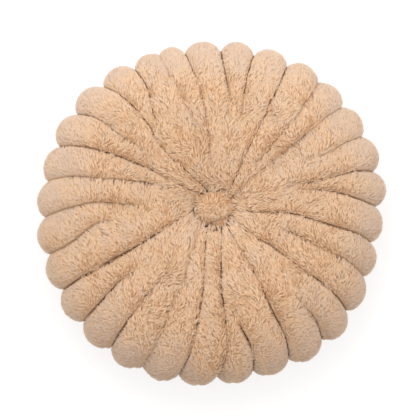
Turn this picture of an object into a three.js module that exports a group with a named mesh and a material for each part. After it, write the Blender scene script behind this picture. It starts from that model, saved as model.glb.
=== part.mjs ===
// A round plush floor cushion of the pumpkin kind, lying on its back.
// A channel-sewn tube of long-pile cloth is stuffed, closed into a ring and gathered at both ends,
// so that its sewn channels run like petals from the middle of the face, over the rim and on to the
// middle of the back. A cloth-covered button is pulled down into the gathers on each side.
// Millimetres, +Z up. The face looks up and z = 0 is the surface that the back rests on.
import * as THREE from 'three';
import { mergeVertices } from 'three/addons/utils/BufferGeometryUtils.js';

// Driving dimensions. The solids reach as far as the pile does.
const HALF_THICKNESS = 58.5; // the crown of the channels above the middle of the rim
const BACK_SAG = 4; // how far the back's channels would reach below the surface that flattens them
const EDGE_ROUND = 115; // radial width of the rounded edge, from the crown of a channel to its tip
const MEAN_REACH = 225; // mean distance of the channels' tips from the axis of the buttons
const HUB_RADIUS = 28; // where the gathers close in round a button
const FACE_DIMPLE = 10; // how far the button draws the gathers below the crown of the face
const BACK_DIMPLE = 24; // the same on the back
const DIMPLE_POWER = 3; // how late the channels dive towards the button
const WELL_LEAN = 1.5; // the gathers' inner wall leans in this far, down to the button's seat
const SEAT_GAP = 0.3; // a button lies this far off its seat

// A sewn channel seam is a groove with a sharp bottom and round shoulders.
const SEAM_DEPTH_HUB = 6;
const SEAM_DEPTH_CROWN = 11;
const SEAM_DEPTH_RIM = 12;
const FULLNESS = 5; // how full a channel is between its seams on the face and back, as a power
const RIM_TAPER = 2.2; // how fast it rounds off to them at the rim, as a power
const RIM_ONSET = 4; // how late that sets in towards the rim, as a power
const SHOULDER_MIN = 12; // the least width of a shoulder
const SEAM_BLEND = 4; // power of the sum that joins neighbouring grooves
const FADE_LENGTH = 46; // a seam that is squeezed out of sight dies away over this length

// The filling is uneven: each channel is fuller or slacker than the next, with slow lumps along it.
const CHANNEL_LUMPS = { height: 2.2, phase: 2.4 };
const BODY_LUMPS = { height: 1.6, round: 3, shift: 1, length: 38, twist: 2 };

// The covered buttons. The front one leans a little and is wider than it is tall.
const BUTTON = { radius: 24.5, height: 21, seat: 89, wide: 1.05, tall: 0.95, leanX: -1, leanY: 1.5 };
const BACK_BUTTON = { radius: 25.5, height: 15, seat: 32, wide: 1, tall: 1, leanX: 0, leanY: 0 };
const BUTTON_SHAPE = { underside: 0.82, shoulder: 0.96, shoulderUp: 0.16, widestUp: 0.45 };
const BUTTON_SIDES = 32;

// The seams' bearings are given at the rim, on four rings at these distances, and at the hub.
const STATION_RADII = { outer: 185, mid: 140, inner: 90, core: 45 };

// One row for each seam, anticlockwise from the right of the face. The first six columns are its
// bearing in degrees. fades: the distance from the axis at which the channels close over the seam.
// strength: how deep it is sewn, as a share. reach: how far the tip of the channel after it is out.
const SEAM_COLUMNS = ['rim', 'outer', 'mid', 'inner', 'core', 'hub', 'fades', 'strength', 'reach'];
const SEAMS = [
  [0.5, 4.4, 10.2, 13.2, 6, 8, 92, 1, 222],
  [13.1, 15, 15, 16.5, 17, 17, 80, 1, 222.5],
  [26, 26.7, 26, 28, 28, 26, 132, 0.7, 221],
  [38.5, 39.3, 39, 39.2, 38.7, 36, 0, 1, 220],
  [50.5, 49, 47.7, 47, 46.5, 44, 54, 0.75, 220],
  [63.1, 62.6, 62.1, 60.7, 56.7, 52, 0, 1, 218],
  [75.7, 76.5, 75.7, 73, 70, 67, 110, 1, 217],
  [88.1, 86.1, 82.8, 84, 84, 82, 110, 1, 216],
  [101.1, 99.1, 96.3, 95.6, 97, 94, 44, 1, 217.5],
  [110.2, 109, 106.4, 103, 109, 105, 0, 0.65, 218.5],
  [120, 119.5, 123.2, 127, 117, 110, 90, 1, 223],
  [132.7, 129.5, 128.4, 131, 124, 115, 0, 1, 228],
  [145.8, 142.3, 142.2, 139.5, 132, 122, 112, 1, 228.5],
  [158.5, 154.9, 151.7, 147.7, 141, 130, 0, 1, 228],
  [171, 167.5, 165.2, 159.5, 154, 144, 50, 0.8, 229.5],
  [183.2, 180.2, 177.1, 178.5, 168, 159, 76, 0.9, 232],
  [195.7, 193.8, 186.9, 190, 182, 172, 114, 0.9, 233],
  [208.2, 207.3, 206.8, 204.5, 196, 184, 0, 1, 235.5],
  [220.8, 219.3, 217.3, 217, 210, 198, 110, 1, 236],
  [233.2, 232.4, 231.8, 232, 223, 210, 68, 1, 235.5],
  [245.4, 246.6, 246, 245.5, 237, 222, 0, 0.7, 233],
  [257.5, 260.1, 261.4, 261.2, 255, 248, 0, 1, 229],
  [270.5, 274.5, 275.5, 275.1, 280, 287, 0, 1, 226.5],
  [283.2, 284.5, 281.6, 288, 291, 295, 110, 1, 226.5],
  [296, 298.7, 299.3, 302.1, 303, 304.5, 0, 1, 229.5],
  [309.2, 312.1, 311.8, 313, 313.5, 315, 142, 1, 230],
  [322, 324.5, 325.4, 326.1, 324.7, 326.5, 0, 1, 224],
  [335.1, 338, 339.6, 342, 340, 341, 76, 0.85, 218.5],
  [347.6, 350.4, 352.5, 356.2, 355.5, 355, 0, 1, 217],
].map((row) => Object.fromEntries(SEAM_COLUMNS.map((column, n) => [column, row[n]])));

// On the back the seams run plainly, drifting by a few degrees, and two in three fade at these radii.
const BACK_DRIFT = 6;
const BACK_FADES = [0, 92, 54];

// How finely the solid is cut: places across a channel, and rings from the hub out to the rim.
const ACROSS_CHANNEL = [0, 0.1, 0.3, 0.5, 0.7, 0.9];
const FACE_STEPS = [0, 0.08, 0.18, 0.3, 0.44, 0.6, 0.76, 0.9];
const BACK_STEPS = [0, 0.14, 0.32, 0.54, 0.78];
const EDGE_ANGLES = [0, 14, 27, 40, 52, 64, 77];
const BUTTON_ANGLES = [0, 22, 44, 66];

const DEGREE = Math.PI / 180;
const CROWN_RADIUS = MEAN_REACH - EDGE_ROUND;

const clamp = (value, low, high) => Math.min(high, Math.max(low, value));
const mix = (a, b, share) => a + (b - a) * share;
const smooth = (share) => {
  const s = clamp(share, 0, 1);
  return s * s * (3 - 2 * s);
};

// The bearing of a seam on the face, at a distance from the axis, along an easy curve.
function faceBearing(seam, radius) {
  const radii = [HUB_RADIUS, ...Object.values(STATION_RADII).reverse(), MEAN_REACH];
  const bearings = [seam.hub, seam.core, seam.inner, seam.mid, seam.outer, seam.rim];
  const r = clamp(radius, radii[0], radii.at(-1));
  const k = Math.min(radii.findLastIndex((station) => station <= r), radii.length - 2);
  const slope = (n) => {
    const [a, b] = [Math.max(n - 1, 0), Math.min(n + 1, radii.length - 1)];
    return (bearings[b] - bearings[a]) / (radii[b] - radii[a]);
  };
  const span = radii[k + 1] - radii[k];
  const t = (r - radii[k]) / span;
  const rise = bearings[k + 1] - bearings[k];
  return bearings[k] + rise * smooth(t) + span * t * (1 - t) * ((1 - t) * slope(k) - t * slope(k + 1));
}

// The bearing of a seam on the back.
function backBearing(seam, radius) {
  const inward = 1 - (radius - HUB_RADIUS) / (MEAN_REACH - HUB_RADIUS);
  return seam.rim + BACK_DRIFT * smooth(inward);
}

// How much of a seam's depth is left where neighbouring channels squeeze it out of sight.
function seamShare(seam, index, radius, onBack) {
  const fades = onBack ? BACK_FADES[index % BACK_FADES.length] : seam.fades;
  const sewn = onBack ? 1 : seam.strength;
  return fades ? sewn * smooth((radius - fades) / FADE_LENGTH) : sewn;
}

// The ring of seams, as bearing and share, at one distance from the axis.
function seamsAt(radius, onBack) {
  const bearing = onBack ? backBearing : faceBearing;
  return SEAMS.map((seam, index) => ({
    bearing: bearing(seam, radius),
    share: seamShare(seam, index, radius, onBack),
  }));
}

// How deep the grooves cut below the crown, at a bearing on one ring.
function grooveDepth(ring, bearing, { radius, out }) {
  const depthInside = mix(SEAM_DEPTH_HUB, SEAM_DEPTH_CROWN, smooth(radius / CROWN_RADIUS));
  const depth = mix(depthInside, SEAM_DEPTH_RIM, out);
  const shoulder = Math.max(SHOULDER_MIN, (Math.PI * radius) / SEAMS.length);
  let sum = 0;
  for (const seam of ring) {
    const turn = Math.abs(((bearing - seam.bearing + 540) % 360) - 180);
    const near = 1 - Math.min(1, (turn * DEGREE * radius) / shoulder);
    const full = 1 - (1 - near ** FULLNESS) ** (1 / FULLNESS);
    const arc = mix(full, near ** RIM_TAPER, out ** RIM_ONSET);
    sum += (seam.share * depth * arc) ** SEAM_BLEND;
  }
  return sum ** (1 / SEAM_BLEND);
}

// How far a channel's tip stands out, blended softly from one channel to the next.
function reachAt(column) {
  const place = column - 0.5;
  const before = Math.floor(place);
  const count = SEAMS.length;
  const [a, b] = [(before + count) % count, (before + 1) % count];
  return mix(SEAMS[a].reach, SEAMS[b].reach, smooth(place - before));
}

// How much the filling lifts the cloth at a place on the face or back. At the rim it doesn't.
function fillingAt(column, bearing, { radius, out }) {
  const turn = bearing * DEGREE;
  const fuller = Math.sin(Math.floor(column) * CHANNEL_LUMPS.phase) * smooth(radius / CROWN_RADIUS);
  const { round, shift, length, twist } = BODY_LUMPS;
  const lump = Math.sin(turn * round + shift) * Math.cos(radius / length + turn * twist);
  const crown = Math.sin(Math.PI * (column % 1));
  return (1 - out) * (CHANNEL_LUMPS.height * fuller * crown + BODY_LUMPS.height * lump);
}

// The crown line of a channel: distance from the axis, share of the dimple, and the way it faces.
function crownLine(steps) {
  const inner = steps.map((share) => ({
    radius: mix(HUB_RADIUS, CROWN_RADIUS, share), drop: (1 - share) ** DIMPLE_POWER, out: 0, up: 1,
  }));
  const edge = EDGE_ANGLES.map((angle) => {
    const [out, up] = [Math.sin(angle * DEGREE), Math.cos(angle * DEGREE)];
    return { radius: CROWN_RADIUS + EDGE_ROUND * out, drop: 0, out, up };
  });
  return [...inner, ...edge];
}

// One ring of the cover's points, on the face (side 1), the back (-1) or the middle of the rim (0).
function coverRing(place, side) {
  const onBack = side < 0;
  const ring = seamsAt(place.radius, onBack);
  const half = HALF_THICKNESS + (onBack ? BACK_SAG : 0);
  const dimple = onBack ? BACK_DIMPLE : FACE_DIMPLE;
  const points = [];
  for (let k = 0; k < SEAMS.length; k += 1) {
    const from = ring[k].bearing;
    const to = ring[(k + 1) % SEAMS.length].bearing + (k + 1 === SEAMS.length ? 360 : 0);
    for (const across of ACROSS_CHANNEL) {
      const bearing = mix(from, to, across);
      const sunk = grooveDepth(ring, bearing, place) - fillingAt(k + across, bearing, place);
      const stretch = mix(1, reachAt(k + across) / MEAN_REACH, smooth(place.radius / MEAN_REACH));
      const radius = place.radius * stretch - sunk * place.out;
      const height = side * (half * place.up - dimple * place.drop - sunk * place.up);
      const z = Math.max(0, HALF_THICKNESS + height);
      points.push([radius * Math.cos(bearing * DEGREE), radius * Math.sin(bearing * DEGREE), z]);
    }
  }
  return points;
}

// The floor of the well that a button sits in, as a flat ring of points.
function seatRing(gathers, height) {
  const shrink = (HUB_RADIUS - WELL_LEAN) / HUB_RADIUS;
  return gathers.map(([x, y]) => [x * shrink, y * shrink, height]);
}

// The stuffed cover as one closed skin: seat, face, rim, back and seat again.
function coverGeometry() {
  const face = crownLine(FACE_STEPS).map((place) => coverRing(place, 1));
  const rim = coverRing({ radius: MEAN_REACH, drop: 0, out: 1, up: 0 }, 0);
  const back = crownLine(BACK_STEPS).map((place) => coverRing(place, -1)).reverse();
  const rings = [
    seatRing(face[0], BUTTON.seat), ...face, rim, ...back, seatRing(back.at(-1), BACK_BUTTON.seat),
  ];
  const perRing = rim.length;
  const points = [...rings.flat(), [0, 0, BUTTON.seat], [0, 0, BACK_BUTTON.seat]];
  const faces = [];
  for (let ring = 0; ring + 1 < rings.length; ring += 1) {
    for (let k = 0; k < perRing; k += 1) {
      const next = (k + 1) % perRing;
      const [a, b] = [ring * perRing + k, ring * perRing + next];
      const [c, d] = [a + perRing, b + perRing];
      faces.push(a, c, b, b, c, d);
    }
  }
  const [top, bottom] = [points.length - 2, points.length - 1];
  const last = (rings.length - 1) * perRing;
  for (let k = 0; k < perRing; k += 1) {
    const next = (k + 1) % perRing;
    faces.push(top, k, next, bottom, last + next, last + k);
  }
  const geometry = new THREE.BufferGeometry();
  geometry.setAttribute('position', new THREE.Float32BufferAttribute(points.flat(), 3));
  geometry.setIndex(faces);
  return mergeVertices(geometry, 1e-4);
}

// A covered button: a flat underside, a full rounded side and a domed face.
function buttonGeometry({ radius, height, wide, tall, leanX, leanY }) {
  const { underside, shoulder, shoulderUp, widestUp } = BUTTON_SHAPE;
  const profile = [
    new THREE.Vector2(0, 0),
    new THREE.Vector2(radius * underside, 0),
    new THREE.Vector2(radius * shoulder, height * shoulderUp),
  ];
  for (const angle of BUTTON_ANGLES) {
    const [across, up] = [Math.cos(angle * DEGREE), Math.sin(angle * DEGREE)];
    profile.push(new THREE.Vector2(radius * across, height * mix(widestUp, 1, up)));
  }
  profile.push(new THREE.Vector2(0, height));
  const geometry = new THREE.LatheGeometry(profile, BUTTON_SIDES);
  geometry.rotateX(Math.PI / 2);
  const places = geometry.attributes.position;
  for (let k = 0; k < places.count; k += 1) {
    const lean = (places.getZ(k) / height) ** 2;
    places.setX(k, places.getX(k) * wide + leanX * lean);
    places.setY(k, places.getY(k) * tall + leanY * lean);
  }
  return geometry;
}

// Warm sand-coloured plush, fully matt.
const plush = (colour) => new THREE.MeshStandardMaterial({ color: colour, roughness: 1, metalness: 0 });

function named(name, geometry, material) {
  const mesh = new THREE.Mesh(geometry, material);
  mesh.name = name;
  return mesh;
}

const cover = named('cushion_cover', coverGeometry(), plush(0xdcb791));

const frontButton = named('front_button', buttonGeometry(BUTTON), plush(0xd3ab82));
frontButton.position.z = BUTTON.seat + SEAT_GAP;

const backButton = named('back_button', buttonGeometry(BACK_BUTTON), plush(0xd3ab82));
backButton.rotation.x = Math.PI;
backButton.position.z = BACK_BUTTON.seat - SEAT_GAP;

// The middle of the outline, and not the axis of the buttons, is the origin.
const cushion = new THREE.Group();
cushion.add(cover, frontButton, backButton);
const outline = new THREE.Box3().setFromBufferAttribute(cover.geometry.attributes.position);
cushion.position.set(-(outline.min.x + outline.max.x) / 2, -(outline.min.y + outline.max.y) / 2, 0);

export default cushion;
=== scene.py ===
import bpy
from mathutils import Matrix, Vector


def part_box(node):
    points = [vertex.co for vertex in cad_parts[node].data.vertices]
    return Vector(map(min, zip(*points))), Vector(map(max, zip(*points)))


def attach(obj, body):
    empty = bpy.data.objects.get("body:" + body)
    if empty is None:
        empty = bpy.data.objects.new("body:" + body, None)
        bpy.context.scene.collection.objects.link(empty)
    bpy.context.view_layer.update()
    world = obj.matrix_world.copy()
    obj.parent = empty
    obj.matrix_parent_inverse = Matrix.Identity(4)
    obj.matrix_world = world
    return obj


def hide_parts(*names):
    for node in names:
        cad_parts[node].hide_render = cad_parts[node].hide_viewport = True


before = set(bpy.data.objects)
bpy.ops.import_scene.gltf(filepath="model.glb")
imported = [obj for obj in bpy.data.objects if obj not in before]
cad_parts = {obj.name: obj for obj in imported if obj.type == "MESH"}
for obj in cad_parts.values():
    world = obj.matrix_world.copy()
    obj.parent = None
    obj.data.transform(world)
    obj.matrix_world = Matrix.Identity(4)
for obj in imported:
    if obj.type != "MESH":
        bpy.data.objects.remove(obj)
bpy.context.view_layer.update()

import math

import bmesh
import bpy
import numpy as np
from mathutils import Matrix, Vector


# The cover's cloth
# The cover is a length of knitted plush, sewn into 29 channels, closed into a ring, gathered at both
# ends and stuffed with fibre. This is the knit under the pile: it is pulled down along every seam and
# into the gathers, and the filling swells it between them. Sizes are in millimetres.
MM = 0.001
PILE_DEPTH = 2.0  # how far the knit lies below the tips of the pile
PRESSED_PILE = 0.6  # the share of that depth which is left where the pile lies on the floor
HALF_THICKNESS = 58.5
BACK_SAG = 4
EDGE_ROUND = 115
MEAN_REACH = 225
HUB_RADIUS = 28
CROWN_RADIUS = MEAN_REACH - EDGE_ROUND
FACE_DIMPLE = 10
BACK_DIMPLE = 24
DIMPLE_POWER = 3
WELL_LEAN = 1.5
FACE_SEAT = 89
BACK_SEAT = 32
SEAM_DEPTH_CROWN = 8.5
SEAM_DEPTH_RIM = 13
FULLNESS = 5.0  # how full the channels are, as the power of their rounding
RIM_TAPER = 2.2  # how fast they round off to the seams at the rim, as a power
RIM_ONSET = 4  # how late that sets in towards the rim, as a power
SEAM_DEPTH_HUB = 7
SHOULDER_MIN = 12
SEAM_BLEND = 4
SEAM_GRIP = 0.02  # how near a seam the cloth is held by it, as a share of the shoulder
CHANNEL_LUMPS = 2.2  # how far some channels stand above others
CHANNEL_TURN = 2.4  # radians between neighbours in that unevenness
FILLING_LUMPS = 1.6  # how far the filling bulges the cloth here and there
FILLING_LUMP_SIZE = 38
FADE_LENGTH = 46
BACK_DRIFT = 6
BACK_FADES = (0, 92, 54)
STATIONS = np.array([HUB_RADIUS, 45, 90, 140, 185, MEAN_REACH], float)

# One row for each seam, anticlockwise from the right of the face. The first six columns are its
# bearing in degrees at the STATIONS, from the rim in to the hub.
# fades: the distance from the axis at which the channels close over the seam.
# strength: how deep it is sewn, as a share. reach: how far the tip of the channel after it is out.
# Columns: rim, outer, mid, inner, core, hub, fades, strength, reach.
SEAMS = np.array([
    [0.5, 4.4, 10.2, 13.2, 6, 8, 92, 1, 222],
    [13.1, 15, 15, 16.5, 17, 17, 80, 1, 222.5],
    [26, 26.7, 26, 28, 28, 26, 132, 0.85, 221],
    [38.5, 39.3, 39, 39.2, 38.7, 36, 0, 0.85, 220],
    [50.5, 49, 47.7, 47, 46.5, 44, 54, 0.75, 220],
    [63.1, 62.6, 62.1, 60.7, 56.7, 52, 0, 1, 218],
    [75.7, 76.5, 75.7, 73, 70, 67, 110, 1, 217],
    [88.1, 86.1, 82.8, 84, 84, 82, 110, 1, 216],
    [101.1, 99.1, 96.3, 95.6, 98, 96, 20, 1, 217.5],
    [110.2, 109, 106.4, 103, 109, 105, 0, 0.5, 218.5],
    [120, 119.5, 123.2, 127, 117, 110, 90, 1, 223],
    [132.7, 129.5, 128.4, 131, 124, 115, 0, 1, 228],
    [145.8, 142.3, 142.2, 139.5, 132, 122, 112, 1, 228.5],
    [158.5, 154.9, 151.7, 148.5, 143.5, 134, 0, 1, 228],
    [171, 167.5, 165.2, 159.5, 154, 144, 50, 0.8, 229.5],
    [183.2, 180.2, 177.1, 178.5, 168, 159, 76, 0.9, 232],
    [195.7, 193.8, 186.9, 190, 182, 172, 114, 0.9, 233],
    [208.2, 207.3, 206.8, 204.5, 196, 184, 0, 1, 235.5],
    [220.8, 219.3, 217.3, 217, 210, 198, 110, 1, 236],
    [233.2, 232.4, 231.8, 232, 223, 210, 68, 1, 235.5],
    [245.4, 246.6, 246, 245.5, 237, 222, 0, 0.85, 233],
    [257.5, 260.1, 261.4, 261.2, 255, 248, 0, 1, 229],
    [270.5, 274.5, 275.5, 275.1, 280, 287, 0, 1, 226.5],
    [283.2, 284.5, 281.6, 288, 291, 295, 110, 1, 226.5],
    [296, 298.7, 299.3, 302.1, 303, 304.5, 0, 1, 229.5],
    [309.2, 312.1, 311.8, 313, 313.5, 315, 142, 1, 230],
    [322, 324.5, 325.4, 326.1, 324.7, 326.5, 0, 1, 224],
    [335.1, 338, 339.6, 342, 340, 341, 76, 0.85, 218.5],
    [347.6, 350.4, 352.5, 356.2, 355.5, 355, 0, 1, 217],
])
CHANNELS = len(SEAMS)
BEARINGS = SEAMS[:, 5::-1]
FADES, STRENGTHS, REACHES = SEAMS[:, 6], SEAMS[:, 7], SEAMS[:, 8]

# Small creases where the cloth folds over itself between two seams.
# Columns: bearing and distance where one starts, the same where it ends, depth, half its width.
TUCKS = np.array([
    [117.8, 185, 118.7, 140, 3.0, 4.5],
    [118.7, 140, 116, 108, 3.5, 4.5],
    [141.7, 175, 136, 147, 4.0, 4.5],
    [136, 147, 135, 130, 3.0, 4.5],
    [97, 80, 102, 57, 3.0, 4.0],
    [124, 49, 113, 30, 3.0, 3.5],
    [244, 60, 222, 32, 3.5, 3.5],
])

# The axis of the buttons, seen from above.
box_low, box_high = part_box("back_button")
AXIS = np.array([(box_low.x + box_high.x) / 2, (box_low.y + box_high.y) / 2]) / MM


def mix(a, b, share):
    return a + (b - a) * share


def smooth(share):
    s = np.clip(share, 0, 1)
    return s * s * (3 - 2 * s)


def drift(points, size, seed):
    """Smooth numbers from -1 to 1 that change by chance over a distance of size."""
    side = 24
    lattice = np.random.default_rng(seed).uniform(-1, 1, (side, side, side))
    places = points / size
    low = np.floor(places).astype(int)
    share = smooth(places - low)
    total = np.zeros(len(points))
    for corner in np.ndindex(2, 2, 2):
        weight = np.prod(np.where(corner, share, 1 - share), axis=1)
        i, j, k = ((low + corner) % side).T
        total += weight * lattice[i, j, k]
    return total


def seam_bearings(radius, on_back):
    """The bearing in degrees of every seam, one row for each distance from the axis."""
    r = np.clip(radius, STATIONS[0], STATIONS[-1])
    last = len(STATIONS) - 1
    k = np.clip(np.searchsorted(STATIONS, r, side="right") - 1, 0, last - 1)
    before = np.maximum(np.arange(last + 1) - 1, 0)
    after = np.minimum(np.arange(last + 1) + 1, last)
    slope = (BEARINGS[:, after] - BEARINGS[:, before]) / (STATIONS[after] - STATIONS[before])
    span = (STATIONS[k + 1] - STATIONS[k])[:, None]
    t = ((r - STATIONS[k]))[:, None] / span
    rise = (BEARINGS[:, k + 1] - BEARINGS[:, k]).T
    ease = (1 - t) * slope[:, k].T - t * slope[:, k + 1].T
    face = BEARINGS[:, k].T + rise * smooth(t) + span * t * (1 - t) * ease
    inward = 1 - (r - HUB_RADIUS) / (MEAN_REACH - HUB_RADIUS)
    back = BEARINGS[:, -1] + BACK_DRIFT * smooth(inward)[:, None]
    return np.where(on_back[:, None], back, face)


def seam_shares(radius, on_back):
    """How deep every seam is at each distance from the axis, as a share of its full depth."""
    fades = np.where(on_back[:, None], np.resize(BACK_FADES, CHANNELS), FADES)
    strength = np.where(on_back[:, None], 1, STRENGTHS)
    left = smooth((radius[:, None] - fades) / FADE_LENGTH)
    return strength * np.where(fades > 0, left, 1)


def on_crown_line(line):
    """Where a place on the crown line is. line runs from the face's hub, 0, over the rim, 1, to the
    back's hub, 2. The rows are the distance from the axis, the share of the dimple, and how much the
    cloth there faces out and up."""
    from_hub = np.where(line > 1, 2 - line, line)
    share = np.clip(from_hub / 0.5, 0, 1)
    turn = np.clip(from_hub / 0.5 - 1, 0, 1) * math.pi / 2
    out, up = np.sin(turn), np.cos(turn)
    radius = mix(HUB_RADIUS, CROWN_RADIUS, share) + EDGE_ROUND * out
    return radius, (1 - share) ** DIMPLE_POWER, out, up


def tuck_depths(x, y):
    """How far the small creases pull the face's cloth in."""
    total = np.zeros(len(x))
    for start, near, end, far, depth, half_width in TUCKS:
        a = np.array([math.cos(math.radians(start)), math.sin(math.radians(start))]) * near
        b = np.array([math.cos(math.radians(end)), math.sin(math.radians(end))]) * far
        along = ((x - a[0]) * (b - a)[0] + (y - a[1]) * (b - a)[1]) / ((b - a) @ (b - a))
        along = np.clip(along, 0, 1)
        away = np.hypot(x - mix(a[0], b[0], along), y - mix(a[1], b[1], along))
        total = np.maximum(total, depth * np.exp(-((away / half_width) ** 2)))
    return total


def on_cloth(column, line):
    """Points of the knit in millimetres, and how strongly a seam holds each. column counts the channels
    round the cushion."""
    radius, drop, out, up = on_crown_line(line)
    on_back = line > 1
    seams = seam_bearings(radius, on_back)
    shares = seam_shares(radius, on_back)
    k = np.floor(column).astype(int) % CHANNELS
    across = column - np.floor(column)
    rows = np.arange(len(column))
    to = seams[rows, (k + 1) % CHANNELS] + np.where(k + 1 == CHANNELS, 360, 0)
    bearing = mix(seams[rows, k], to, across)
    face_depth = mix(SEAM_DEPTH_HUB, SEAM_DEPTH_CROWN, smooth(radius / CROWN_RADIUS))
    depth = mix(face_depth, SEAM_DEPTH_RIM, out)
    shoulder = np.maximum(SHOULDER_MIN, math.pi * radius / CHANNELS)
    turn = np.abs((bearing[:, None] - seams + 540) % 360 - 180)
    away = np.clip(np.radians(turn) * (radius / shoulder)[:, None], 0, 1)
    arc = 1 - (1 - (1 - away) ** FULLNESS) ** (1 / FULLNESS)
    arc = mix(arc, (1 - away) ** RIM_TAPER, out[:, None] ** RIM_ONSET)
    groove = ((shares * depth[:, None] * arc) ** SEAM_BLEND).sum(1) ** (1 / SEAM_BLEND)
    held = (shares * (away < SEAM_GRIP)).max(1)
    theta = np.radians(bearing)
    lumps = np.sin(k * CHANNEL_TURN) * smooth(radius / CROWN_RADIUS) * np.sin(math.pi * across)
    lump = np.sin(3 * theta + 1) * np.cos(radius / FILLING_LUMP_SIZE + 2 * theta)
    x, y = radius * np.cos(theta), radius * np.sin(theta)
    tucks = np.where(on_back, 0, tuck_depths(x, y))
    sunk = groove + tucks - (1 - out) * (CHANNEL_LUMPS * lumps + FILLING_LUMPS * lump) + PILE_DEPTH
    place = column - 0.5
    before = np.floor(place).astype(int)
    reach = mix(REACHES[before % CHANNELS], REACHES[(before + 1) % CHANNELS], smooth(place - before))
    radius = radius * mix(1, reach / MEAN_REACH, smooth(radius / MEAN_REACH)) - sunk * out
    half = HALF_THICKNESS + np.where(on_back, BACK_SAG, 0)
    dimple = np.where(on_back, BACK_DIMPLE, FACE_DIMPLE)
    height = np.where(on_back, -1, 1) * (half * up - dimple * drop - sunk * up)
    z = np.maximum(PILE_DEPTH * PRESSED_PILE, HALF_THICKNESS + height)
    return np.stack([radius * np.cos(theta), radius * np.sin(theta), z], 1), held


# The cloth is one spun skin: a chain of points from the face's seat to the back's, turned about the
# axis in even steps and then laid along the seams.
STEPS_ACROSS = 10  # in each channel
STEPS_ALONG = 120  # from the face's hub over the rim to the back's
HUB_CROWDING = 1.15  # how much closer the steps lie at the hubs, as a power
SEAM_CROWDING = 0.08  # how much closer the steps lie at a seam

skin = bmesh.new()
step_layer = skin.verts.layers.int.new("step")
chain = [skin.verts.new((0, 0, 1))]
chain[0][step_layer] = -2
for step in range(-1, STEPS_ALONG + 2):
    vertex = skin.verts.new((1, 0, -step))
    vertex[step_layer] = step
    chain.append(vertex)
chain.append(skin.verts.new((0, 0, -STEPS_ALONG - 2)))
chain[-1][step_layer] = STEPS_ALONG + 2
for a, b in zip(chain, chain[1:]):
    skin.edges.new((a, b))
bmesh.ops.spin(
    skin, geom=skin.verts[:] + skin.edges[:], cent=(0, 0, 0), axis=(0, 0, 1),
    angle=2 * math.pi, steps=CHANNELS * STEPS_ACROSS, use_merge=True,
)
bmesh.ops.remove_doubles(skin, verts=skin.verts[:], dist=1e-5)
skin.verts.ensure_lookup_table()
start = np.array([v.co for v in skin.verts])
step = np.array([v[step_layer] for v in skin.verts])
column = (np.degrees(np.arctan2(start[:, 1], start[:, 0])) / 360 * CHANNELS) % CHANNELS
column = np.round(column * STEPS_ACROSS) / STEPS_ACROSS
column -= SEAM_CROWDING * np.sin(2 * math.pi * column)
line = np.clip(step / STEPS_ALONG, 0, 1) * 2
line = np.where(line > 1, 2 - (2 - line) ** HUB_CROWDING, line ** HUB_CROWDING)
knit, held = on_cloth(column, line)
for end, seat in ((-1, FACE_SEAT), (STEPS_ALONG + 1, BACK_SEAT)):
    at_seat = step == end
    knit[at_seat, :2] *= 1 - WELL_LEAN / HUB_RADIUS
    knit[at_seat, 2] = seat
    held[at_seat] = 1
for pole, seat in ((-2, FACE_SEAT), (STEPS_ALONG + 2, BACK_SEAT)):
    knit[step == pole] = (0, 0, seat)
    held[step == pole] = 1
held[(step <= 0) | (step >= STEPS_ALONG)] = 1
knit[:, :2] += AXIS
for vertex, place in zip(skin.verts, knit * MM):
    vertex.co = place
bmesh.ops.recalc_face_normals(skin, faces=skin.faces[:])
for face in skin.faces:
    face.smooth = True


def piece_from(mesh_in_work, name):
    """A new object that holds this bmesh."""
    mesh = bpy.data.meshes.new(name)
    mesh_in_work.to_mesh(mesh)
    mesh_in_work.free()
    piece = bpy.data.objects.new(name, mesh)
    bpy.context.scene.collection.objects.link(piece)
    return piece


cover = piece_from(skin, "cover_knit")
# sewn holds how strongly a seam holds each point. The knit's colour is painted dark brown by it: partly
# the stitching thread, partly painted shade deep in the seams.
sewn = cover.data.attributes.new("sewn", "FLOAT", "POINT")
sewn.data.foreach_set("value", np.where((step > 0) & (step < STEPS_ALONG), held, 0).astype(np.float32))

# The filling swells the knit between the seams, which hold. The floor keeps the back flat.
SWELL = 2.0  # the most that a point moves
MOMENTS = 14  # steps of the simulation
LOOSEST_TO = 0.3  # up to where the cloth has the most slack, as a share of the way from hub to rim
SLACK_FADES_OVER = 0.4  # over how much of that way the slack goes
unfilled = knit * MM  # where the points lie before the cushion is filled, in metres
pins = cover.vertex_groups.new(name="sewn")
grip = np.round(held, 2)
for weight in np.unique(grip[grip > 0]):
    pins.add(np.flatnonzero(grip == weight).tolist(), float(weight), "REPLACE")
loose = cover.vertex_groups.new(name="slack")
from_hub = np.where(line > 1, 2 - line, line)
slack = np.round(1 - smooth((from_hub - LOOSEST_TO) / SLACK_FADES_OVER), 1)
for weight in np.unique(slack):
    loose.add(np.flatnonzero(slack == weight).tolist(), float(weight), "REPLACE")
cloth = cover.modifiers.new("filling", "CLOTH")
cloth.settings.use_pressure = True
cloth.settings.uniform_pressure_force = 150
cloth.settings.mass = 0.02
cloth.settings.shrink_min = -0.005
cloth.settings.shrink_max = -0.02
cloth.settings.vertex_group_shrink = "slack"
cloth.settings.effector_weights.gravity = 0
cloth.settings.vertex_group_mass = "sewn"
cloth.settings.tension_stiffness = 12
cloth.settings.compression_stiffness = 12
cloth.settings.bending_stiffness = 0.4
cloth.point_cache.frame_start = 1
cloth.point_cache.frame_end = MOMENTS
cloth.settings.quality = 4
for moment in range(1, MOMENTS + 1):
    bpy.context.scene.frame_set(moment)
swollen = cover.evaluated_get(bpy.context.evaluated_depsgraph_get())
moved = np.array([v.co for v in swollen.data.vertices]) - unfilled
cover.modifiers.remove(cloth)
cover.vertex_groups.clear()
bpy.context.scene.frame_set(1)
far = np.linalg.norm(moved, axis=1)
moved *= np.minimum(1, SWELL * MM / np.maximum(far, 1e-9))[:, None]
knit = knit + moved / MM
knit[:, 2] = np.maximum(knit[:, 2], PILE_DEPTH * PRESSED_PILE)
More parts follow.
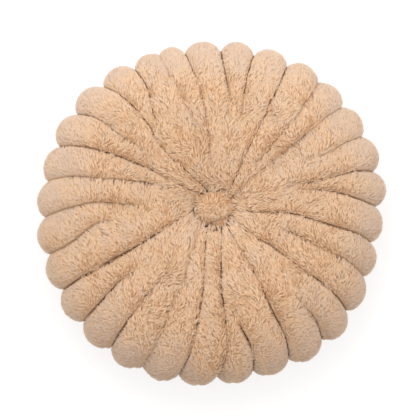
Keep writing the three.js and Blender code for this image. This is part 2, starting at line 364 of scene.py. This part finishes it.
cover.data.vertices.foreach_set("co", (knit * MM).astype(np.float32).ravel())
cover.data.update()


def linear(colour):
    """The linear numbers of an sRGB hex colour."""
    parts = [int(colour[n:n + 2], 16) / 255 for n in (1, 3, 5)]
    return [*(p / 12.92 if p <= 0.04045 else ((p + 0.055) / 1.055) ** 2.4 for p in parts), 1]


def add(tree, kind, links=None, **settings):
    """A new node with its settings, and links from other nodes' outputs to its inputs."""
    node = tree.nodes.new(kind)
    for name, value in settings.items():
        if name in node.inputs:
            node.inputs[name].default_value = value
        else:
            setattr(node, name, value)
    for name, source in (links or {}).items():
        tree.links.new(source, node.inputs[name])
    return node


def new_material(name):
    """An empty material and its shader, which the caller fills in."""
    material = bpy.data.materials.new(name)
    material.use_nodes = True
    return material, material.node_tree, material.node_tree.nodes["Principled BSDF"]


# Polyester knit, the backing that plush is made on: matt, and darker than the pile because little
# light reaches it between the tufts.
STITCH_SPACING = 0.0012  # metres
knit_backing, tree, shader = new_material("polyester_knit_backing")
coordinates = add(tree, "ShaderNodeTexCoord")
stitches = add(
    tree, "ShaderNodeTexVoronoi", {"Vector": coordinates.outputs["Object"]}, Scale=1 / STITCH_SPACING,
)
shade = add(tree, "ShaderNodeValToRGB", {"Fac": stitches.outputs["Distance"]})
shade.color_ramp.elements[0].color = linear("#DDBB99")
shade.color_ramp.elements[1].color = linear("#D0A985")
# Along the seams the knit is painted dark brown, partly for the stitching thread and partly as painted
# shade deep in the grooves.
sewn_there = add(tree, "ShaderNodeAttribute", attribute_name="sewn")
thread_and_seam_shade = add(tree, "ShaderNodeMix", {"Factor": sewn_there.outputs["Fac"]}, data_type="RGBA")
tree.links.new(shade.outputs["Color"], thread_and_seam_shade.inputs[6])
thread_and_seam_shade.inputs[7].default_value = linear("#6E4A30")
tree.links.new(thread_and_seam_shade.outputs[2], shader.inputs["Base Color"])
shader.inputs["Roughness"].default_value = 0.95
shader.inputs["Specular IOR Level"].default_value = 0.1
cover.data.materials.append(knit_backing)
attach(cover, "root")
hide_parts("cushion_cover")


# The cover's pile
# Long soft polyester pile stands on the knit in small curved tufts. It lies smoother over the rim,
# where hands hold the cushion, and tousled further in, and it parts along every seam.
LOCK_FLATNESS = 0.45  # a tuft's height as a share of its width
LOCK_SPREAD = 1.15  # brings the corners of its three-sided section out to its full width


def lock_shape(*outline):
    """One tuft to copy: a closed spindle with three sides, spun from its outline about x, which runs
    from the root to the tip. y runs across and z up. The outline's points are shares of the tuft's
    length and of half its width."""
    shape = bmesh.new()
    chain = [shape.verts.new((along, 0, half)) for along, half in outline]
    for a, b in zip(chain, chain[1:]):
        shape.edges.new((a, b))
    bmesh.ops.spin(
        shape, geom=shape.verts[:] + shape.edges[:], cent=(0, 0, 0), axis=(1, 0, 0),
        angle=2 * math.pi, steps=3, use_merge=True,
    )
    bmesh.ops.remove_doubles(shape, verts=shape.verts[:], dist=1e-4)
    bmesh.ops.recalc_face_normals(shape, faces=shape.faces[:])
    bmesh.ops.triangulate(shape, faces=shape.faces[:])
    section = Matrix.Diagonal((1, LOCK_SPREAD, LOCK_FLATNESS))
    bmesh.ops.transform(shape, matrix=section, verts=shape.verts[:])
    shape.verts.index_update()
    points = np.array([v.co for v in shape.verts])
    triangles = np.array([[v.index for v in f.verts] for f in shape.faces])
    shape.free()
    return points, triangles


LOCK = lock_shape((0, 0), (0.4, 1), (1, 0))


def corners_of(piece):
    places = np.empty(len(piece.data.vertices) * 3, np.float32)
    piece.data.vertices.foreach_get("co", places)
    return places.reshape(-1, 3).astype(float)


def spread_over(piece, count, seed, weight=None, measured=None):
    """Chance places on a piece, as many to each area: the point, the normal, and the three corners of
    the triangle that each lies in with their shares. measured is where its points lay when the areas
    were measured, if not where they lie."""
    mesh = piece.data
    mesh.calc_loop_triangles()
    corners = np.empty(len(mesh.loop_triangles) * 3, np.int32)
    mesh.loop_triangles.foreach_get("vertices", corners)
    corners = corners.reshape(-1, 3)
    normals = np.empty(len(mesh.vertices) * 3, np.float32)
    mesh.vertex_normals.foreach_get("vector", normals)
    normals = normals.reshape(-1, 3)
    places = corners_of(piece)
    a, b, c = ((places if measured is None else measured)[corners[:, n]] for n in range(3))
    area = np.linalg.norm(np.cross(b - a, c - a), axis=1) / 2
    if weight is not None:
        area = area * weight[corners].mean(1)
    chance = np.random.default_rng(seed)
    steps = (np.arange(count) + chance.random(count)) / count
    total = np.cumsum(area)
    chosen = corners[np.searchsorted(total, steps * total[-1])]
    u, v = chance.random(count), chance.random(count)
    over = u + v > 1
    u, v = np.where(over, 1 - u, u), np.where(over, 1 - v, v)
    shares = np.stack([1 - u - v, u, v], 1)
    point = (places[chosen] * shares[..., None]).sum(1)
    normal = (normals[chosen] * shares[..., None]).sum(1)
    normal /= np.linalg.norm(normal, axis=1)[:, None]
    return point, normal, chosen, shares


def unit(vectors):
    return vectors / np.maximum(np.linalg.norm(vectors, axis=1), 1e-12)[:, None]


LOCK_RISE = 1.9  # how steeply a tuft rises from its root, as a power
LOCK_CURL = 0.18  # how much of its length goes into its curve, as a share
LEVEL_AT = 0.35  # how far along it a tuft shades as the surface does, as a share
UNDERSIDE_FACING = 0.3  # how far its underside shades as the surface does, as a share
FLOOR_GAP = 0.0002  # metres between the floor and the pile that lies on it
PRESSED_LOCK = 0.0005  # metres of thickness that the floor leaves it


def make_locks(name, shape, root, normal, along, length, width, lift, bend, tone, stray, facing, pale=0):
    """Joins a copy of a tuft's shape for each root into a mesh. along is the way it is brushed; lift is
    how high it stands, bend how far its tip turns aside, tone how pale it is, from 0 to 1, and pale how
    pale its root is. It shades as the surface that faces this way does, but for its stray."""
    count = len(root)
    side = np.cross(normal, along)
    x, y, z = shape[0].T
    rise = 1 - (1 - x) ** LOCK_RISE
    places = (
        root[:, None]
        + along[:, None] * (length[:, None] * x * (1 - LOCK_CURL * x))[..., None]
        + side[:, None] * (width[:, None] / 2 * y + (bend * length)[:, None] * x ** 2)[..., None]
        + normal[:, None] * (width[:, None] / 2 * z + lift[:, None] * rise)[..., None]
    )
    pressed = FLOOR_GAP + PRESSED_LOCK * tone[:, None] + PRESSED_LOCK * (z.max() - z)
    places[..., 2] = np.maximum(places[..., 2], pressed)
    triangles = shape[1] + (np.arange(count) * len(x))[:, None, None]
    mesh = bpy.data.meshes.new(name)
    mesh.vertices.add(count * len(x))
    mesh.vertices.foreach_set("co", places.astype(np.float32).ravel())
    mesh.loops.add(triangles.size)
    mesh.loops.foreach_set("vertex_index", triangles.astype(np.int32).ravel())
    mesh.polygons.add(triangles.size // 3)
    mesh.polygons.foreach_set("loop_start", np.arange(0, triangles.size, 3, dtype=np.int32))
    mesh.polygons.foreach_set("use_smooth", np.ones(triangles.size // 3, bool))
    mesh.update()
    pile = mesh.uv_layers.new(name="OFBake")
    from_root = np.maximum(x, np.broadcast_to(pale, count)[:, None])
    shares = np.stack([from_root, np.clip(tone[:, None] + 0.01 * y, 0.01, 0.99)], 2)
    pile.uv.foreach_set("vector", shares.reshape(-1, 2)[triangles.ravel()].astype(np.float32).ravel())
    turn = side[:, None] * y[:, None] + along[:, None] * (x - LEVEL_AT)[:, None]
    at_corners = (facing[:, None] + stray[:, None, None] * turn)[:, shape[1]]
    a, b, c = (shape[0][shape[1][:, n]] for n in range(3))
    underside = np.cross(b - a, c - a)[:, 2] < 0
    at_corners[:, underside] = (along + UNDERSIDE_FACING * facing)[:, None, None]
    mesh.normals_split_custom_set(unit(at_corners.reshape(-1, 3)).tolist())
    piece = bpy.data.objects.new(name, mesh)
    bpy.context.scene.collection.objects.link(piece)
    return piece


# Polyester plush pile: fine matt fibres that scatter light. Each tuft is painted darker towards its
# root, as painted shade for the shade that falls between the tufts. u in its map runs from a tuft's root
# to its tip, and v is how pale the tuft is.
plush_pile, tree, shader = new_material("polyester_plush_pile")
pile_map = add(tree, "ShaderNodeUVMap", uv_map="OFBake")
parts = add(tree, "ShaderNodeSeparateXYZ", {"Vector": pile_map.outputs["UV"]})
tint = add(tree, "ShaderNodeValToRGB", {"Fac": parts.outputs["Y"]})
tint.color_ramp.elements[0].color = linear("#D29C6C")
tint.color_ramp.elements[1].color = linear("#DEC3AD")
middle = tint.color_ramp.elements.new(0.5)
middle.color = linear("#EDC8A3")
# Painted shade: each tuft is painted darker towards its root, where shade falls between the tufts.
depth = add(tree, "ShaderNodeValToRGB", {"Fac": parts.outputs["X"]})
depth.color_ramp.elements[0].color = linear("#C9A88C")
depth.color_ramp.elements[1].color = linear("#FFFFFF")
depth.color_ramp.elements[1].position = 0.5
colour = add(tree, "ShaderNodeMix", data_type="RGBA", blend_type="MULTIPLY")
colour.inputs[0].default_value = 1
tree.links.new(tint.outputs["Color"], colour.inputs[6])
tree.links.new(depth.outputs["Color"], colour.inputs[7])
tree.links.new(colour.outputs[2], shader.inputs["Base Color"])
shader.inputs["Roughness"].default_value = 0.8
shader.inputs["Specular IOR Level"].default_value = 0.15
shader.inputs["Sheen Weight"].default_value = 0.25
shader.inputs["Sheen Roughness"].default_value = 0.5
shader.inputs["Sheen Tint"].default_value = linear("#FFF6EE")


# How the cover's pile lies. Sizes are in millimetres, and a pair is for the rim and the tousled face.
TUFTS = 135000
BACK_FROM = 1.15  # where the back's thinner pile starts on the crown line
BACK_SHARE = 0.55  # how many tufts it has to each area, as a share of the face's
SMOOTH_FROM = 0.64  # where the rim's smoother pile starts, as a share of the way from hub to rim
SMOOTH_OVER = 0.22  # over how much of that way it sets in
# How the tousled pile turns. Columns: by how many degrees, over what size, and the seed.
SWIRLS = ((75, 42, 2), (60, 15, 3), (35, 6, 4))
RIM_SWIRL = 22  # degrees that the rim's pile turns
RIM_UPWARDS = 0.55  # how far the rim's pile is brushed to the top of the face, as a share
LOCK_WIDTH = 1.35
LOCK_LENGTH = (7, 12)
LOCK_LIFT = (1.2, 2.2)
HIGHEST_LIFT = 5.5
LOCK_STRAY = (0.4, 0.65)  # how much of a tuft's own rounding shows
TONE_NOISE = (0.05, 0.1)  # how much neighbouring tufts differ in tone
BOLD_SHARE = 0.2  # how many of the face's tufts are wide and high ones
PARTED = 6  # how near a seam the pile gets shorter
PALE_ROOTS = 0.45  # how pale the roots of the rim's pile are, as a share of the way to its tips
PILE_LEVELS = 0.66  # how far the tips of the pile even out the rounding of the channels
# Bearings in degrees at which the gathers stay open beside the button.
OPEN_GAPS = np.array([3, 115, 150, 180, 214, 246, 288, 305])


def brush(name, count, seed, weight, pieces):
    """Spreads tufts over the cover, as many to each area as weight says, and lays them."""
    root, normal, chosen, shares = spread_over(cover, count, seed, weight, unfilled)
    chance = np.random.default_rng(seed)
    points = root / MM

    # Where each tuft stands: along the crown line, round the cushion, and from the nearest seam.
    line_at = (line[chosen] * shares).sum(1)
    near = column[chosen]
    near = np.where(near - near[:, :1] > CHANNELS / 2, near - CHANNELS, near)
    near = np.where(near - near[:, :1] < -CHANNELS / 2, near + CHANNELS, near)
    column_at = (near * shares).sum(1)
    radius_at = on_crown_line(line_at)[0]
    on_face = line_at < 1
    turn_here = np.degrees(np.arctan2(root[:, 1] / MM - AXIS[1], root[:, 0] / MM - AXIS[0]))
    upper_side = np.sin(np.radians(turn_here))
    seams_here = seam_bearings(radius_at, line_at > 1)
    shares_here = seam_shares(radius_at, line_at > 1)
    offset = (turn_here[:, None] - seams_here + 540) % 360 - 180
    half_channel = math.pi * radius_at / CHANNELS
    from_seams = np.abs(np.radians(offset)) * radius_at[:, None] + 40 * (1 - shares_here)
    to_seam = from_seams.min(1)
    seam_side = np.sign(np.take_along_axis(offset, from_seams.argmin(1)[:, None], 1)[:, 0])
    at_seam = 1 - smooth(to_seam / np.minimum(PARTED, 0.6 * half_channel))
    near_hub = 1 - smooth((radius_at - 38) / 40)
    at_button = 1 - smooth((radius_at - 30) / 14)
    from_hub = np.where(line_at > 1, 2 - line_at, line_at)
    calm = smooth((from_hub - SMOOTH_FROM + 0.1 * drift(points, 40, 1)) / SMOOTH_OVER)
    rough = 1 - calm

    # Which way the surface runs there, and which way the tips of the pile shade.
    ahead, _ = on_cloth(column_at % CHANNELS, np.minimum(line_at + 0.01, 2))
    behind, _ = on_cloth(column_at % CHANNELS, np.maximum(line_at - 0.01, 0))
    outward = ahead - behind
    outward = unit(outward - normal * (outward * normal).sum(1)[:, None])
    sideways = np.cross(normal, outward)
    around = np.stack([AXIS[1] * MM - root[:, 1], root[:, 0] - AXIS[0] * MM, np.zeros(count)], 1)
    facing = unit(mix(normal, unit(np.cross(outward, around)), PILE_LEVELS))
    lit = 0.7 * on_face * at_button * np.clip(upper_side, 0, 1)
    facing = unit(mix(facing, np.array([0, 0, 1]), lit[:, None]))

    # Which way each tuft is brushed: tousled on the face, less so at the rim, inwards at the button.
    upwards = np.degrees(np.arctan2(sideways[:, 1], outward[:, 1]))
    radial = np.where(np.abs(upwards) < 90, 0, 180 * np.sign(upwards))
    swirl = sum(degrees * drift(points, size, chance_seed) for degrees, size, chance_seed in SWIRLS)
    swirl = swirl * mix(1, 0.35, near_hub) + np.where(on_face, mix(upwards, radial, near_hub), 0)
    rim_swirl = RIM_SWIRL * drift(points, 20, 6) + RIM_UPWARDS * np.where(on_face, upwards, 0)
    heading = np.radians(mix(swirl, rim_swirl, calm) + chance.normal(0, 10, count))
    to_hub = 1 - smooth((radius_at - HUB_RADIUS - 2) / 10)
    astray = smooth(0.4 - 0.35 * upper_side + drift(points, 10, 14)) * (radius_at > HUB_RADIUS + 2)
    inwards = mix(to_hub, 0, astray)
    heading = mix(heading, math.pi, inwards)
    brushed = unit(outward * np.cos(heading)[:, None] + sideways * np.sin(heading)[:, None])

    # Its length, cut short in most places where it would cross a seam, and its width, lift and bend.
    length = MM * mix(*LOCK_LENGTH, rough) * mix(1, 1.25, inwards) * mix(1, 0.6, at_seam)
    length *= chance.uniform(0.75, 1.25, count)
    bold = (chance.random(count) < BOLD_SHARE) * rough
    towards_seam = np.maximum(0, -seam_side * (brushed * sideways).sum(1))
    crossing = np.maximum(0.3, (to_seam - 0.4) * MM / np.maximum(towards_seam * length, 1e-6))
    stops = smooth(2 + near_hub + 4 * drift(points, 7, 15))
    length *= mix(1, np.minimum(1, crossing), stops)
    width = MM * LOCK_WIDTH * (1 + 0.6 * bold) * chance.uniform(0.75, 1.25, count)
    lift = MM * mix(*LOCK_LIFT, rough) * mix(1, 0.8, at_seam) * chance.uniform(0.7, 1.3, count)
    uphill = brushed[:, 2] * rough
    ruffled = 1 + 0.6 * mix(0.4, 1, rough) * (1 - 0.6 * near_hub) * drift(points, 4, 12)
    lift *= ruffled * (1 + 0.6 * uphill) * (1 + 0.3 * bold)
    lift = np.minimum(lift, HIGHEST_LIFT * MM)
    bend = chance.normal(0, 0.2, count) * mix(0.4, 1, rough) + 0.3 * drift(points, 9, 7) * rough

    # How pale it is. Its tone differs at random; painted shade darkens the pile brushed uphill, painted
    # light brightens the pile by the hub, and the rim's smoother pile is paler, partly its own tone and
    # partly painted sheen.
    tone = 0.5 + 0.12 * drift(points, 30, 8) + 0.12 * drift(points, 8, 9)
    tone += 0.18 * drift(points, 4, 13) * mix(0.5, 1, rough)
    # Painted shade darkens the uphill-brushed pile, painted sheen partly pales the rim's pile, and
    # painted light brightens the pile by the hub.
    tone += 0.08 * bold - 0.2 * uphill + 0.42 * calm + 0.06 * near_hub
    tone += mix(*TONE_NOISE, rough) * chance.normal(0, 1, count)
    tone = np.clip(tone, 0.03, 0.97)

    # The seams and the open gathers stay bare.
    turn_to_gap = np.abs((turn_here[:, None] - OPEN_GAPS + 540) % 360 - 180).min(1)
    open_gap = (radius_at < HUB_RADIUS + 4) & (np.radians(turn_to_gap) * radius_at < 2)
    parting = mix(0.65, 1, np.abs(upper_side))
    kept = (to_seam > mix(parting, 1.3, near_hub)) & ~open_gap
    stray = mix(*LOCK_STRAY, rough)
    for n in range(pieces):
        mine = np.flatnonzero(kept)[n * count // pieces:(n + 1) * count // pieces]
        tufts = make_locks(
            f"{name}_{n + 1}", LOCK, root[mine], normal[mine], brushed[mine], length[mine], width[mine],
            lift[mine], bend[mine], tone[mine], stray[mine], facing[mine], PALE_ROOTS * calm[mine],
        )
        tufts.data.materials.append(plush_pile)
        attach(tufts, "root")


brush("cover_pile", TUFTS, seed=11, weight=np.where(line < BACK_FROM, 1.0, BACK_SHARE), pieces=6)


# The front button
# A metal button shell covered in the same plush, drawn down into the gathers by a thread that runs
# through the cushion to its partner on the back. Its cloth is pulled round to the underside.
BUTTON_INSET = 0.002  # metres from the tips of its pile to its cloth
# The shell's outline from its underside to its top, in shares of half its width and half its height.
BUTTON_OUTLINE = [
    (0, -1), (0.8, -1), (0.95, -0.7), (1, -0.1), (0.95, 0.35),
    (0.8, 0.7), (0.52, 0.92), (0.25, 0.99), (0, 1),
]
# The fold in its cloth, in millimetres: both ends from its middle, the depth and half the width.
BUTTON_FOLD = ((-8, -19.5), (21.5, -7), 3.6, 2.6)


def from_line(places, line):
    """How far places lie from a straight line between two points, and how far along it, as a share."""
    start, end = np.array(line[0]), np.array(line[1])
    along = np.clip((places - start) @ (end - start) / ((end - start) @ (end - start)), 0, 1)
    return np.linalg.norm(places - mix(start, end, along[:, None]), axis=1), along


def covered_button(name, node, upwards, fold=None):
    """The button's cloth: a lumpy spun dome that fills its node's box but for the pile."""
    low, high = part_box(node)
    centre, half = (low + high) / 2, (high - low) / 2
    button = bmesh.new()
    chain = [button.verts.new((x, 0, z)) for x, z in BUTTON_OUTLINE]
    for a, b in zip(chain, chain[1:]):
        button.edges.new((a, b))
    bmesh.ops.spin(
        button, geom=button.verts[:] + button.edges[:], cent=(0, 0, 0), axis=(0, 0, 1),
        angle=2 * math.pi, steps=36, use_merge=True,
    )
    bmesh.ops.remove_doubles(button, verts=button.verts[:], dist=1e-5)
    bmesh.ops.subdivide_edges(button, edges=button.edges[:], cuts=1, smooth=0.6, use_grid_fill=True)
    cloth_half = half - Vector((BUTTON_INSET, BUTTON_INSET, BUTTON_INSET / 2))
    bmesh.ops.scale(button, vec=cloth_half, verts=button.verts[:])
    if upwards < 0:
        bmesh.ops.rotate(button, matrix=Matrix.Rotation(math.pi, 3, "X"), verts=button.verts[:])
    cloth_centre = centre - Vector((0, 0, upwards * BUTTON_INSET / 2))
    bmesh.ops.translate(button, vec=cloth_centre, verts=button.verts[:])
    bmesh.ops.recalc_face_normals(button, faces=button.faces[:])
    places = np.array([v.co for v in button.verts])
    sunk = 0.9 * MM * drift(places / MM, 13, 21) + 0.5 * MM * drift(places / MM, 6, 22)
    if fold:
        depth, half_width = fold[2:]
        away, _ = from_line((places[:, :2] - np.array(centre)[:2]) / MM, fold)
        sunk += depth * MM * np.exp(-((away / half_width) ** 2))
    for vertex, inwards in zip(button.verts, sunk):
        vertex.co -= vertex.normal * inwards
    for face in button.faces:
        face.smooth = True
    piece = piece_from(button, name)
    piece.data.materials.append(knit_backing)
    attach(piece, "root")
    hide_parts(node)
    return piece


BUTTON_LOCK_WIDTH = 1.9  # millimetres
BUTTON_CROWN = (-0.3, 5.5, 0)  # millimetres from its middle to the crown that its pile parts from


def pile_on_button(name, node, piece, count, seed, upwards, fold=None):
    """Tufts that part from a crown near the middle of a covered button and flow over its edge."""
    low, high = (np.array(corner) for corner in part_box(node))
    centre = (low + high) / 2
    root, normal, _, _ = spread_over(piece, count, seed)
    chance = np.random.default_rng(seed)
    points = root / MM
    kept = normal[:, 2] * upwards > -0.3
    to_fold = np.full(count, 20.0)
    if fold:
        to_fold, _ = from_line((points - centre / MM)[:, :2], fold)
        run = unit(np.array([np.subtract(fold[1], fold[0])]))[0]
        across_fold = np.array([-run[1], run[0]])
        to_fold *= np.sign((points - centre / MM)[:, :2] @ across_fold - fold[0] @ across_fold)
        kept &= np.abs(to_fold) > 0.9
    root, normal, points, to_fold = root[kept], normal[kept], points[kept], to_fold[kept]
    many = len(root)
    from_crown = points - centre / MM - BUTTON_CROWN
    heading = np.arctan2(from_crown[:, 1], from_crown[:, 0])
    swirl = 1.5 * drift(points, 14, seed + 1) + 1.1 * drift(points, 6, seed + 2)
    heading += swirl + chance.normal(0, 0.15, many)
    brushed = np.stack([np.cos(heading), np.sin(heading), np.zeros(many)], 1)
    brushed = unit(brushed - normal * (brushed * normal).sum(1)[:, None])
    at_fold = 1 - smooth(np.abs(to_fold) / 4)
    length = MM * chance.uniform(7, 12, many) * mix(1, 0.5, at_fold)
    if fold:
        towards = np.maximum(0, (brushed[:, :2] @ across_fold) * -np.sign(to_fold))
        length *= np.clip((np.abs(to_fold) - 0.5) * MM / np.maximum(towards * length, 1e-6), 0.3, 1)
    width = MM * BUTTON_LOCK_WIDTH * chance.uniform(0.7, 1.35, many)
    lift = MM * chance.uniform(1.5, 2.8, many) * (1 + 0.5 * drift(points, 5, 12)) * mix(1, 0.5, at_fold)
    tone = 0.36 + 0.25 * drift(points, 9, seed + 3) + 0.2 * drift(points, 4, seed + 4)
    tone += chance.normal(0, 0.13, many)
    tufts = make_locks(
        name, LOCK, root, normal, brushed, length, width, lift, chance.normal(0, 0.3, many),
        np.clip(tone, 0.03, 0.97), np.full(many, 0.85), normal,
    )
    tufts.data.materials.append(plush_pile)
    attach(tufts, "root")


front_knit = covered_button("front_button_knit", "front_button", 1, BUTTON_FOLD)
pile_on_button(
    "front_button_pile", "front_button", front_knit, count=2200, seed=31, upwards=1, fold=BUTTON_FOLD,
)

# A loop of the thread that ties the button down shows in the gap beside it.
THREAD_RADIUS = 0.00065
THREAD_LOOP = 0.0019  # from the middle of the loop to the middle of the thread
THREAD_PLACE = Vector((AXIS[0] * MM - 0.0244, AXIS[1] * MM - 0.0013, 0.1045))
thread = bmesh.new()
strand = bmesh.ops.create_circle(thread, segments=10, radius=THREAD_RADIUS, cap_ends=False)["verts"]
bmesh.ops.rotate(thread, matrix=Matrix.Rotation(math.pi / 2, 3, "X"), verts=strand)
bmesh.ops.translate(thread, vec=(THREAD_LOOP, 0, 0), verts=strand)
bmesh.ops.spin(
    thread, geom=thread.verts[:] + thread.edges[:], cent=(0, 0, 0), axis=(0, 0, 1),
    angle=math.radians(250), steps=20, use_merge=False,
)
bmesh.ops.holes_fill(thread, edges=[edge for edge in thread.edges if edge.is_boundary])
bmesh.ops.recalc_face_normals(thread, faces=thread.faces[:])
for face in thread.faces:
    face.smooth = len(face.verts) == 4
bmesh.ops.scale(thread, vec=(0.8, 1.35, 1), verts=thread.verts[:])
bmesh.ops.rotate(thread, matrix=Matrix.Rotation(math.radians(35), 3, "Y"), verts=thread.verts[:])
bmesh.ops.translate(thread, vec=THREAD_PLACE, verts=thread.verts[:])
thread_loop = piece_from(thread, "button_thread")

# Waxed polyester thread: off-white, with a soft gloss from the wax, and twisted.
TWIST_LENGTH = 0.0015  # metres
waxed_thread, tree, shader = new_material("waxed_polyester_thread")
coordinates = add(tree, "ShaderNodeTexCoord")
twist = add(
    tree, "ShaderNodeTexWave", {"Vector": coordinates.outputs["Object"]}, Scale=1 / TWIST_LENGTH,
    bands_direction="DIAGONAL",
)
shade = add(tree, "ShaderNodeValToRGB", {"Fac": twist.outputs["Fac"]})
shade.color_ramp.elements[0].color = linear("#D9D2C6")
shade.color_ramp.elements[1].color = linear("#F7F4EE")
tree.links.new(shade.outputs["Color"], shader.inputs["Base Color"])
shader.inputs["Roughness"].default_value = 0.45
thread_loop.data.materials.append(waxed_thread)
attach(thread_loop, "root")


# The back button
# The front button's plain partner, a shell covered in the same plush. The thread through the cushion
# is knotted to it and holds both buttons in their gathers.
back_knit = covered_button("back_button_knit", "back_button", -1)
pile_on_button("back_button_pile", "back_button", back_knit, count=1600, seed=41, upwards=-1)


# The floor, the light and the camera
# A plain pale floor, a large soft lamp, and a camera straight above the face. The lamp stands past the
# top of the face, and the soft sky is brightest on that side.
stage = bmesh.new()
bmesh.ops.create_grid(stage, x_segments=1, y_segments=1, size=3)
floor = piece_from(stage, "studio_floor")
floor_paint, tree, shader = new_material("matt_white_paint")
shader.inputs["Base Color"].default_value = linear("#A0A0A0")
shader.inputs["Roughness"].default_value = 0.9
shader.inputs["Emission Color"].default_value = linear("#FFFFFF")
shader.inputs["Emission Strength"].default_value = 0.68
floor.data.materials.append(floor_paint)

LAMP_PLACE = Vector((-0.3, 1.3, 2.0))
LAMP_TARGET = Vector((0, 0, 0.05))
soft_lamp = bpy.data.lights.new("key", "AREA")
soft_lamp.shape = "DISK"
soft_lamp.size = 1.4
soft_lamp.energy = 13
lamp = bpy.data.objects.new("key", soft_lamp)
lamp.location = LAMP_PLACE
lamp.rotation_euler = (LAMP_TARGET - LAMP_PLACE).to_track_quat("-Z", "Y").to_euler()
bpy.context.scene.collection.objects.link(lamp)

world = bpy.data.worlds.new("studio")
world.use_nodes = True
sky = world.node_tree
direction = add(sky, "ShaderNodeTexCoord")
sides = add(sky, "ShaderNodeSeparateXYZ", {"Vector": direction.outputs["Generated"]})
rise = add(sky, "ShaderNodeMath", {0: sides.outputs["Y"]}, operation="MULTIPLY_ADD")
rise.inputs[1].default_value = -0.25
rise.inputs[2].default_value = 0.46
glow = add(
    sky, "ShaderNodeMath", {0: sides.outputs["Y"], 1: rise.outputs["Value"]}, operation="MULTIPLY_ADD",
)
glow.inputs[2].default_value = 1.06
sky.nodes["Background"].inputs["Color"].default_value = linear("#FFFFFF")
sky.links.new(glow.outputs["Value"], sky.nodes["Background"].inputs["Strength"])
bpy.context.scene.world = world
bpy.context.scene.view_settings.view_transform = "Standard"

FRAME_WIDTH = 0.535  # metres of the cushion's widest plane that the picture spans
CAMERA_HEIGHT = 2.4
PICTURE_SIDE = 416  # pixels
BUTTON_PIXEL = (215, 209)  # where the axis of the buttons is in the picture, from its top left corner
camera_data = bpy.data.cameras.new("camera")
camera_data.sensor_width = 36
camera_data.lens = camera_data.sensor_width * CAMERA_HEIGHT / FRAME_WIDTH
camera = bpy.data.objects.new("camera", camera_data)
pixel = FRAME_WIDTH / PICTURE_SIDE
camera.location = (
    AXIS[0] * MM - (BUTTON_PIXEL[0] - PICTURE_SIDE / 2) * pixel,
    AXIS[1] * MM + (BUTTON_PIXEL[1] - PICTURE_SIDE / 2) * pixel,
    HALF_THICKNESS * MM + CAMERA_HEIGHT,
)
bpy.context.scene.collection.objects.link(camera)
bpy.context.scene.camera = camera
